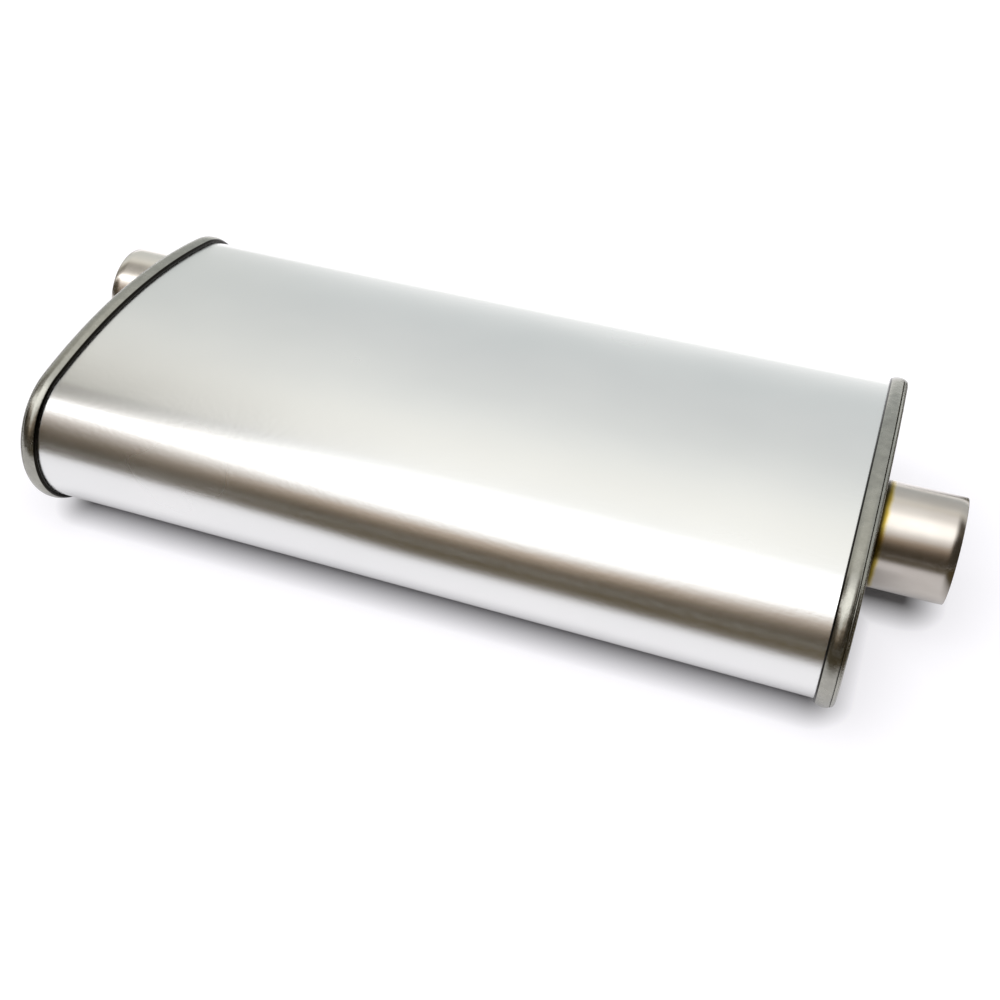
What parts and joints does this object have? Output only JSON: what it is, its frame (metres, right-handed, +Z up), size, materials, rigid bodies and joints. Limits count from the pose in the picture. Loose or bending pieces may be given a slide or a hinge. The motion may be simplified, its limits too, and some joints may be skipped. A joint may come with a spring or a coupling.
{
  "type": "muffler",
  "caption": "Oval reverse-flow exhaust muffler: double-wrapped case with rolled end seams, offset inlet neck, centre outlet neck, louvred inner tubes, baffles and fibre packing.",
  "frame": {"origin": "middle of the bounding box's underside, at the height of the end seams' undersides on which the muffler rests", "axes": "+X along the case towards the centre outlet neck, +Y across the case towards the offset inlet neck's side, +Z up through the case's height"},
  "size_m": [0.6072, 0.2604, 0.1124],
  "materials": {
    "case_sheet": "satin aluminised steel sheet, lightly brushed along the case",
    "cap_sheet": "dull aluminised steel, pressed and rolled",
    "neck_steel": "plain drawn steel tube with a heat-tinted root",
    "weld_steel": "weld bead, straw and brown heat tint",
    "inner_steel": "mill-finish aluminised steel",
    "fibre": "packed glass fibre"
  },
  "bodies": {
    "root": {"outer_wrap": "case_sheet", "inner_wrap": "case_sheet", "inlet_end_cap": "cap_sheet", "outlet_end_cap": "cap_sheet", "inlet_neck": "neck_steel", "outlet_neck": "neck_steel", "inlet_neck_weld": "weld_steel", "outlet_neck_weld": "weld_steel", "inlet_end_baffle": "inner_steel", "middle_baffle": "inner_steel", "outlet_end_baffle": "inner_steel", "inlet_tube": "inner_steel", "return_tube": "inner_steel", "outlet_tube": "inner_steel", "inlet_turn_director": "inner_steel", "return_turn_director": "inner_steel", "return_exit_director": "inner_steel", "outlet_turn_director": "inner_steel", "inlet_side_packing": "fibre", "outlet_side_packing": "fibre"}
  },
  "joints": []
}
